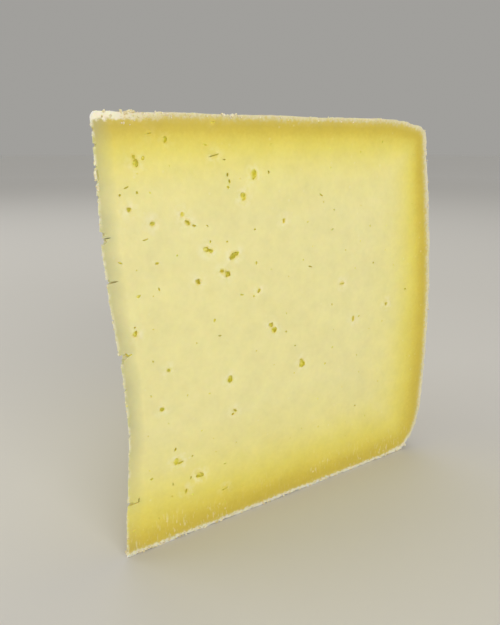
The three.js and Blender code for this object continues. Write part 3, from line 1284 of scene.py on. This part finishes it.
@dataclass
class Eyes:
    """The eyes: gaps between curds that the knife opened, small and angular.

    The larger ones on the right face gather above and left of its middle. The rest of both faces has
    fine pores.
    """

    right: tuple[Eye, ...] = (
        # upper left
        Eye(9.3, 108.5, 1.3, 1.9, 15.0, 1.3), Eye(8.9, 109.7, 0.8, 1.5, 20, 1.0),
        Eye(11.3, 109.6, 1.1, 0.7, 30, 0.7), Eye(17.1, 113.7, 1.1, 1.6, 0, 1.0),
        Eye(12.9, 115.1, 1.7, 0.35, 15, 0.6), Eye(6.6, 102.9, 1.4, 0.35, 30, 0.5),
        Eye(9.3, 101.6, 0.7, 0.7), Eye(5.0, 101.1, 0.6, 0.6), Eye(6.9, 97.7, 1.0, 1.0),
        Eye(12.7, 93.9, 1.3, 1.2),
        # top middle
        Eye(30.5, 110.0, 3.1, 0.3, 15, 0.7), Eye(33.4, 108.9, 0.8, 0.4), Eye(30.1, 118.0, 1.6, 0.4, 5, 0.5),
        Eye(27.9, 112.6, 1.0, 0.4, -15, 0.5), Eye(34.3, 105.0, 0.7, 0.9), Eye(34.9, 103.4, 0.6, 1.2),
        Eye(34.4, 101.9, 0.7, 0.7), Eye(42.6, 104.8, 1.5, 2.9, -5, 1.2), Eye(39.2, 99.2, 1.5, 2.0, 10, 1.1),
        Eye(47.4, 105.5, 0.8, 0.8), Eye(52.7, 91.8, 0.8, 1.4, 0, 1.4),
        # the cluster above the middle
        Eye(22.4, 93.5, 2.0, 1.1, -35, 1.2), Eye(24.2, 92.6, 1.2, 0.6, -20, 0.8),
        Eye(20.9, 95.6, 0.9, 1.1, 0, 0.4), Eye(27.8, 86.0, 2.2, 1.2, -25, 1.1),
        Eye(28.9, 85.4, 1.4, 0.9, 20, 1.2), Eye(35.6, 83.3, 2.4, 1.6, 32, 1.7),
        Eye(35.4, 83.7, 2.4, 0.5, 38, 2.5), Eye(36.9, 84.0, 1.4, 1.4, 0, 1.4),
        Eye(33.9, 78.6, 1.9, 1.7, 0, 1.3), Eye(32.2, 79.6, 1.4, 0.9, -25, 0.9),
        Eye(24.9, 77.6, 1.4, 1.7, 20, 1.3), Eye(43.3, 80.7, 0.7, 0.8), Eye(44.3, 72.4, 1.6, 0.7, 40, 1.2),
        Eye(38.6, 72.1, 1.3, 0.5, -25, 0.6), Eye(10.7, 90.1, 1.6, 0.35, 12, 0.5),
        Eye(13.5, 83.8, 0.9, 0.7, 15), Eye(19.1, 85.3, 0.5, 0.6), Eye(28.8, 88.0, 0.5, 0.8),
        Eye(42.9, 90.1, 0.6, 0.5), Eye(3.9, 85.0, 1.2, 0.4, -30, 0.5),
        # middle and right
        Eye(48.6, 61.3, 1.6, 1.3, -40, 1.0), Eye(49.8, 59.5, 2.0, 1.5, -30, 1.3), Eye(54.2, 58.2, 0.8, 0.6),
        Eye(60.7, 46.4, 1.8, 2.3, 15, 1.4), Eye(60.2, 47.6, 1.2, 1.0, 0, 1.1),
        Eye(81.3, 57.8, 0.8, 2.3, 0, 0.8), Eye(96.0, 60.7, 1.2, 1.1, 0, 1.3),
        Eye(75.7, 70.4, 2.2, 0.45, 5, 0.6), Eye(62.7, 77.4, 1.6, 0.35, -15, 0.5),
        Eye(65.9, 98.5, 1.4, 0.5, -30, 0.6), Eye(70.7, 87.9, 1.2, 0.35, 20, 0.5), Eye(88.7, 75.7, 0.6, 0.6),
        Eye(104.8, 64.7, 0.8, 0.6), Eye(72.0, 64.0, 0.5, 0.7), Eye(57.7, 53.0, 0.6, 0.5),
        Eye(84.5, 25.5, 0.7, 0.5),
        # lower left
        Eye(6.6, 66.2, 1.1, 1.6, 0, 1.1), Eye(6.6, 68.0, 0.5, 0.5), Eye(8.0, 75.9, 1.2, 0.7, 10, 0.6),
        Eye(13.7, 77.0, 0.5, 1.0, 10), Eye(15.4, 54.2, 1.1, 1.0, -20, 1.2),
        Eye(34.4, 47.1, 1.6, 2.3, 10, 1.2), Eye(12.9, 43.2, 1.3, 1.2, 0, 1.2),
        Eye(35.9, 36.8, 1.6, 0.5, -40, 0.9), Eye(35.2, 35.8, 1.0, 0.7, 30, 0.8),
        Eye(29.6, 65.9, 0.7, 0.9, 0, 0.4), Eye(31.3, 61.2, 1.0, 0.4), Eye(9.9, 47.9, 0.4, 0.8),
        Eye(11.0, 57.7, 0.4, 0.7), Eye(16.4, 25.8, 1.2, 1.9, -20, 1.1), Eye(17.8, 25.2, 2.0, 0.8, 5, 1.0),
        Eye(16.2, 29.8, 0.6, 1.3, -20, 0.7), Eye(21.4, 26.0, 0.6, 0.6), Eye(23.8, 18.8, 2.5, 1.7, -8, 1.3),
        Eye(20.8, 19.0, 0.5, 1.0, 0, 0.7), Eye(8.8, 22.7, 0.7, 0.8), Eye(15.1, 18.8, 0.4, 1.1),
        Eye(19.1, 15.2, 0.5, 1.7, -15, 0.7), Eye(32.2, 11.2, 2.1, 0.6, 8, 0.7),
        Eye(32.3, 19.9, 1.2, 0.3, 10, 0.4), Eye(4.0, 61.0, 1.4, 0.5, -50, 0.8),
        Eye(5.0, 60.8, 1.1, 0.4, 25, 0.8),
    )
    left: tuple[Eye, ...] = (
        Eye(20.6, 96.8, 2.2, 1.4, 15, 1.3), Eye(35.2, 104.4, 1.4, 2.4, 0, 1.2),
        Eye(30.1, 80.3, 2.6, 1.7, -20, 1.5), Eye(31.6, 81.2, 1.3, 1.2, 0, 1.1),
        Eye(47.3, 88.2, 1.6, 2.1, 12, 1.2), Eye(56.2, 62.7, 2.6, 1.6, 28, 1.4),
        Eye(27.4, 54.9, 1.6, 2.2, 0, 1.2), Eye(41.1, 36.4, 2.2, 1.4, -18, 1.2),
        Eye(19.7, 24.2, 1.9, 1.5, 34, 1.2), Eye(70.8, 49.3, 1.5, 1.9, 0, 1.2),
        Eye(64.2, 91.6, 1.7, 1.4, 10, 1.1), Eye(12.3, 71.2, 1.2, 1.6, 10, 1.0),
        Eye(49.5, 73.9, 1.8, 0.6, 30, 0.9), Eye(38.8, 66.1, 0.9, 1.5, -10, 1.0),
        Eye(22.9, 108.4, 2.3, 0.4, 12, 0.6), Eye(83.6, 67.4, 1.3, 1.0, 0, 1.0),
        Eye(58.1, 24.7, 1.8, 0.7, -12, 0.8), Eye(91.2, 88.3, 1.1, 0.9, 0, 0.9),
        Eye(14.2, 41.6, 1.0, 1.3, 0, 0.9), Eye(76.5, 31.8, 0.9, 1.1, 0, 0.9),
    )
    # Eyes at least this size, across plus tall, get the painted glow and highlight round them.
    painted_light_from: float = 2.0
    pore_spacing: float = 4.6
    pore_density: float = 0.006
    pore_smallest: tuple[float, float, float] = (0.13, 0.13, 0.16)
    pore_largest: tuple[float, float, float] = (0.42, 0.3, 0.28)
    keep_clear: float = 2.2
    deepest: float = 0.45
    far: float = 99.0
    roughen: float = 2.6
    seed: int = 5

    def distance(self, points: Array, cut: Cut) -> Array:
        """How far points are from the rim of the nearest larger eye.

        Args:
            points: Points about the wheel's axis in millimetres, N by 3.
            cut: The cuts.

        Returns:
            One distance for each point, nothing inside an eye.
        """
        nearest = np.full(len(points), self.far)
        for side, eyes in ((Side.RIGHT, self.right), (Side.LEFT, self.left)):
            for eye in eyes:
                if eye.wide + eye.tall < self.painted_light_from:
                    continue
                up = np.array([eye.up])
                middle = cut.on_face(side, np.array([eye.out]), up, cut.edge(up))
                away = np.linalg.norm(points - middle, axis=1) - (eye.wide + eye.tall) / 4
                nearest = np.minimum(nearest, away)
        return np.maximum(nearest, 0)

    def shapes(self, body: Thing, cut: Cut, finish: bpy.types.Material) -> Thing:
        """Makes the shapes that the eyes take out of the body.

        Args:
            body: The body, for strewing pores over its cut faces.
            cut: The cuts.
            finish: The material of the eyes' walls.

        Returns:
            The shapes, in millimetres about the wheel's axis.
        """
        places, sizes, turns = [], [], []
        for side, eyes in ((Side.RIGHT, self.right), (Side.LEFT, self.left)):
            outs = np.array([e.out for e in eyes])
            ups = np.array([e.up for e in eyes])
            places.append(cut.on_face(side, outs, ups, cut.edge(ups)))
            sizes += [(e.wide / 2, min(e.deep, self.deepest * (e.wide + e.tall)), e.tall / 2) for e in eyes]
            # Seen from outside, the left face runs the other way.
            turns += [(0, side.value * math.radians(e.tip), side.value * cut.angle / 2) for e in eyes]
        return ScatterTree("eyes").run(
            places, sizes, turns, body, finish, spacing=self.pore_spacing, density=self.pore_density,
            smallest=self.pore_smallest, largest=self.pore_largest, keep_clear=self.keep_clear,
            roughen=self.roughen, seed=self.seed, facets=2, grain=0.9)


@dataclass
class EdgeWear:
    """Chips and cracks along the thin inner edge."""

    chips: tuple[Chip, ...] = (
        Chip(112.4, 0.9, 0.45, 15), Chip(107.9, 0.7, 0.35, -20), Chip(105.9, 0.22, 1.2, 4, start=0.72),
        Chip(104.1, 0.75, 0.4, 35), Chip(100.9, 0.6, 0.4, 0), Chip(92.0, 1.5, 0.9, 10, start=-0.3),
        Chip(90.6, 1.6, 0.9, -8, start=-0.3), Chip(91.1, 2.4, 0.2, 5), Chip(80.3, 2.9, 0.25, 4),
        Chip(80.7, 1.0, 0.4, 25), Chip(60.1, 2.3, 0.95, 14), Chip(59.3, 1.2, 0.6, -10),
        Chip(51.4, 0.6, 0.4, 0), Chip(17.1, 1.7, 0.5, 8), Chip(17.4, 0.25, 0.8, -10, start=3.4),
        Chip(16.8, 3.6, 0.22, 0), Chip(6.3, 0.7, 0.3, 0), Chip(70.6, 0.5, 0.6, 0), Chip(38.0, 0.5, 0.5, 10),
        Chip(27.5, 0.45, 0.4, -10), Chip(96.4, 0.5, 0.4, 0), Chip(115.8, 0.5, 0.5, 0),
    )
    roughen: float = 1.0

    def shapes(self, body: Thing, cut: Cut, finish: bpy.types.Material) -> Thing:
        """Makes the shapes that the chips take out of the edge.

        Args:
            body: The body.
            cut: The cuts.
            finish: The material of the broken faces.

        Returns:
            The shapes, in millimetres about the wheel's axis.
        """
        ups = np.array([c.up for c in self.chips])
        edge = cut.edge(ups)
        along = cut.direction(Side.RIGHT)
        places = (edge + [c.start for c in self.chips])[:, None] * along
        places[:, 2] = ups
        sizes = [(c.deep, c.wide, c.opening) for c in self.chips]
        turns = [(0, -math.radians(c.tip), 0) for c in self.chips]
        return ScatterTree("chips").run(
            places, sizes, turns, body, finish, roughen=self.roughen, facets=3, grain=0.8)


@dataclass(frozen=True)
class CrumbPatch:
    """A stretch of rim that crumbs cling to, as a box in the wheel's section, in millimetres."""

    low: tuple[float, float]
    high: tuple[float, float]
    count: int
    spread: float
    largest: float


@dataclass
class Crumbs:
    """Crumbs of rind along the rims of the cut faces and on the inner edge, left by the knife."""

    patches: tuple[CrumbPatch, ...] = (
        CrumbPatch((0, -1), (120, 121), 220, 1.3, 0.3),
        CrumbPatch((1.0, 119), (14, 120.4), 24, 1.7, 0.45),
        CrumbPatch((6.5, 118), (10.5, 120.2), 20, 3.2, 0.45),
        CrumbPatch((14, 117), (40, 121), 36, 1.0, 0.4),
        CrumbPatch((0, -1), (113, 3), 170, 1.1, 0.42),
    )
    flakes: tuple[Eye, ...] = (
        Eye(0.1, 105.9, 0.6, 2.6, 4, 0.3), Eye(0.1, 108.6, 0.6, 1.2, -10, 0.3),
        Eye(0.0, 1.9, 0.9, 1.6, 20, 0.5), Eye(0.3, 103.0, 0.6, 1.3, 10, 0.3),
    )
    smallest: float = 0.1
    largest_on_edge: float = 0.26
    roughen: float = 2.2
    section_step: float = 0.5
    crowding: float = 1.5
    lift: float = 0.35
    inward_on_edge: float = 0.05
    on_edge: int = 80
    right_share: float = 0.6
    seed: int = 3

    def shapes(self, body: Thing, cut: Cut, finish: bpy.types.Material) -> Thing:
        """Makes the crumbs.

        Args:
            body: The body.
            cut: The cuts.
            finish: The crumbs' material.

        Returns:
            The crumbs, in millimetres about the wheel's axis.
        """
        wheel = cut.wheel
        rng = np.random.default_rng(self.seed)
        section = wheel.section(self.section_step)
        outward = wheel.under_rind(section)[1]
        places, sizes = [], []
        for patch in self.patches:
            found = np.flatnonzero(np.all((section >= patch.low) & (section <= patch.high), axis=1))
            picked = rng.choice(found, patch.count)
            inward = patch.spread * rng.random(patch.count) ** self.crowding
            flat = section[picked] - outward[picked] * inward[:, None]
            flat = np.maximum(flat, self.lift)
            edge = cut.edge(flat[:, 1])
            faces = [cut.on_face(side, flat[:, 0], flat[:, 1], edge) for side in (Side.RIGHT, Side.LEFT)]
            on_right = rng.random(patch.count) < self.right_share
            places.append(np.where(on_right[:, None], *faces))
            sizes.append(rng.uniform(self.smallest, patch.largest, (patch.count, 3)))
        ups = rng.uniform(1, wheel.height - 1, self.on_edge)
        edge = cut.edge(ups)
        places.append(cut.on_face(Side.RIGHT, edge + self.inward_on_edge, ups, edge))
        sizes.append(rng.uniform(self.smallest, self.largest_on_edge, (self.on_edge, 3)))
        turns = rng.uniform(0, math.tau, (sum(map(len, places)), 3))
        ups = np.array([f.up for f in self.flakes])
        edge = cut.edge(ups)
        places.append(cut.on_face(Side.RIGHT, edge + [f.out for f in self.flakes], ups, edge))
        sizes.append([(f.wide / 2, f.deep, f.tall / 2) for f in self.flakes])
        tips = [(0, -math.radians(f.tip), -cut.angle / 2) for f in self.flakes]
        return ScatterTree("crumbs").run(
            places, sizes, [turns, tips], body, finish, roughen=self.roughen, facets=2, grain=3.0)


# ---- the finished wedge ----


@dataclass
class CheeseWedge:
    """The whole wedge: the body with its eyes and chips cut out and its crumbs joined on."""

    cut: Cut
    eyes: Eyes = field(default_factory=Eyes)
    wear: EdgeWear = field(default_factory=EdgeWear)
    crumbs: Crumbs = field(default_factory=Crumbs)
    crease: float = math.radians(38)
    pressed: float = 0.8
    pressed_reach: float = 11.0
    pressed_from: float = 0.85
    base_flour: float = 0.75
    base_flour_reach: float = 4.0
    heel_rind: float = 0.75
    heel_reach: float = 6.0

    def build(self) -> Thing:
        """Builds, dresses and places the wedge.

        Returns:
            The finished piece, in metres in the frame.
        """
        materials = [Paste().build(), NaturalRind().build(), EyeWall().build(), RindCrumb().build()]
        body = Body(self.cut).build(materials)
        holes = self.eyes.shapes(body, self.cut, materials[Slot.EYE_WALL])
        chips = self.wear.shapes(body, self.cut, materials[Slot.PASTE])
        crumbs = self.crumbs.shapes(body, self.cut, materials[Slot.CRUMB])
        for tool, step in ((chips, Cutting.REMOVE), (holes, Cutting.REMOVE), (crumbs, Cutting.ADD)):
            self._combine(body, tool, step)
        piece = plain_mesh(body)
        for spent in (body, holes, chips, crumbs):
            bpy.data.objects.remove(spent)
        piece.name = NODE + "_cheese"
        self._keep_largest(piece.data)
        self._note_depths(piece.data)
        self._place(piece.data)
        return piece

    def _combine(self, body: Thing, tool: Thing, step: Cutting) -> None:
        """Adds a Boolean step to the body.

        Args:
            body: The body.
            tool: The shapes to remove or add.
            step: Which of the two.
        """
        modifier = body.modifiers.new(tool.name, "BOOLEAN")
        modifier.object = tool
        modifier.operation = step.value
        modifier.solver = "MANIFOLD"
        modifier.material_mode = "TRANSFER"

    def _keep_largest(self, mesh: bpy.types.Mesh) -> None:
        """Drops crumbs that touch nothing, so that the wedge is one closed solid.

        Args:
            mesh: The piece's mesh, changed in place.
        """
        shell = bmesh.new()
        shell.from_mesh(mesh)
        left, largest = set(shell.verts), set()
        while left:
            seed = left.pop()
            island, waiting = {seed}, [seed]
            while waiting:
                fresh = {e.other_vert(v) for v in [waiting.pop()] for e in v.link_edges} - island
                island |= fresh
                waiting.extend(fresh)
            left -= island
            largest = max(largest, island, key=len)
        bmesh.ops.delete(shell, geom=[v for v in shell.verts if v not in largest], context="VERTS")
        as_mesh(shell, mesh)

    def _note_depths(self, mesh: bpy.types.Mesh) -> None:
        """Notes on every corner how far it is under the rind and from the inner edge.

        Args:
            mesh: The piece's mesh, still in millimetres about the wheel's axis.
        """
        points = read_points(mesh)
        outs, ups = points[:, 0], points[:, 2]
        spot = Placed.of(points, self.cut)
        wheel = self.cut.wheel
        # Floury crumbs, pressed on near the top of the inner edge, make the pale band look thicker there.
        by_corner = fade(outs, self.pressed_reach) * (ups > self.pressed_from * wheel.height)
        by_base = self.base_flour * fade(ups, self.base_flour_reach)
        inside = wheel.foot_radius - wheel.heel_lean - np.hypot(outs, points[:, 1])
        by_heel = fade(np.maximum(inside, 0.0), self.heel_reach)
        depth = spot.under_rind - self.pressed * by_corner - self.heel_rind * by_heel
        note(mesh, "under_rind_mm", depth)
        note(mesh, "floury", np.maximum(by_corner, by_base))
        note(mesh, "from_edge_mm", outs / math.cos(self.cut.angle / 2) - self.cut.edge(ups))
        # How far each corner is from a larger eye, which places the painted glow and highlight.
        note(mesh, "from_eye_mm", self.eyes.distance(points, self.cut))

    def _place(self, mesh: bpy.types.Mesh) -> None:
        """Moves the mesh from the wheel's axis into the frame, and shades it.

        Args:
            mesh: The piece's mesh, changed in place.
        """
        mesh.transform(Matrix.Translation(FOOT) @ Matrix.Scale(MM, 4))
        mesh.shade_smooth()
        mesh.set_sharp_from_angle(angle=self.crease)
        mesh.update()


# ---- the studio ----


@dataclass
class Studio:
    """A plain pale floor, soft lights and the camera, close to the wedge and a little below its top."""

    camera_place: tuple[float, float, float] = (-86.6, -104.1, 112.8)
    camera_yaw: float = -54.7
    camera_pitch: float = -16.9
    lens: float = 40.0
    film: float = 36.0
    floor_radius: float = 6.0
    floor_fade: Spot = (0.3, 2.0)
    floor_roughness: float = 0.9
    air_strength: float = 0.45
    floor_colour: str = "d9d6cf"
    floor_far: str = "fdfcfa"
    air_colour: str = "e6e4df"

    def build(self) -> None:
        """Sets up the whole studio."""
        self._floor()
        self._air()
        self._lights()
        self._camera()
        bpy.context.scene.view_settings.view_transform = "Standard"

    def _floor(self) -> None:
        """Lays the floor under the wedge."""
        shell = bmesh.new()
        bmesh.ops.create_circle(shell, cap_ends=True, radius=self.floor_radius, segments=96)
        floor = put("floor", as_mesh(shell, bpy.data.meshes.new("floor")))
        floor.location.z = CAD_LOW.z
        mix = Recipe("matt_floor_paper")
        away = add_node(mix.tree, "ShaderNodeVectorMath", {0: mix.place}, operation="LENGTH").outputs["Value"]
        # The paper is paler far out, so that it runs into the air without a line.
        share = mix.between(away, *self.floor_fade, 0.0, 1.0)
        colour = mix.ramp(share, [(0.0, self.floor_colour), (1.0, self.floor_far)])
        mix.tree.links.new(colour, mix.shader.inputs["Base Color"])
        mix.shader.inputs["Roughness"].default_value = self.floor_roughness
        floor.data.materials.append(mix.material)

    def _air(self) -> None:
        """Fills the room with an even pale light."""
        world = bpy.data.worlds.new("studio")
        world.use_nodes = True
        bpy.context.scene.world = world
        tree = world.node_tree
        tree.nodes.clear()
        inputs = {"Color": linear(self.air_colour), "Strength": self.air_strength}
        glow = add_node(tree, "ShaderNodeBackground", inputs)
        add_node(tree, "ShaderNodeOutputWorld", {"Surface": glow.outputs[0]})

    def _lights(self) -> None:
        """Hangs three soft boxes: a broad one before the right face, and weak ones above and behind."""
        self._softbox("front", (-0.45, -0.75, 0.35), 0.7, 5.2)
        self._softbox("above", (0.35, 0.25, 0.9), 0.8, 2.4)
        self._softbox("behind", (-0.45, 0.85, 0.5), 0.7, 2.6)

    def _softbox(self, name: str, place: tuple[float, float, float], size: float, power: float) -> None:
        """Adds one square light that faces the wedge.

        Args:
            name: Its name.
            place: Where it hangs, in metres.
            size: Its side in metres.
            power: Its power in watts.
        """
        light = bpy.data.lights.new(name, "AREA")
        light.size = size
        light.energy = power
        lamp = put(name, light)
        lamp.location = place
        middle = (CAD_LOW + CAD_HIGH) / 2
        lamp.rotation_euler = (middle - Vector(place)).to_track_quat("-Z", "Y").to_euler()

    def _camera(self) -> None:
        """Places the camera by its distance from the foot of the inner edge."""
        data = bpy.data.cameras.new("camera")
        data.sensor_fit = "HORIZONTAL"
        data.sensor_width = self.film
        data.lens = self.lens
        data.clip_start = 0.01
        camera = put("camera", data)
        camera.location = FOOT + Vector(self.camera_place) * MM
        camera.rotation_euler = (math.radians(90 + self.camera_pitch), 0, math.radians(self.camera_yaw))
        bpy.context.scene.camera = camera


def main() -> None:
    """Builds the wedge and the studio."""
    logging.basicConfig(level=logging.INFO, format="%(name)s: %(message)s", force=True)
    Studio().build()
    wheel = Wheel(height=(CAD_HIGH.z - CAD_LOW.z) / MM)
    piece = CheeseWedge(Cut(wheel)).build()
    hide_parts(NODE)
    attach(piece, BODY)
    triangles = sum(len(face.vertices) - 2 for face in piece.data.polygons)
    log.info("%s: %d corners, %d triangles", piece.name, len(piece.data.vertices), triangles)


if __name__ == "__main__":
    main()
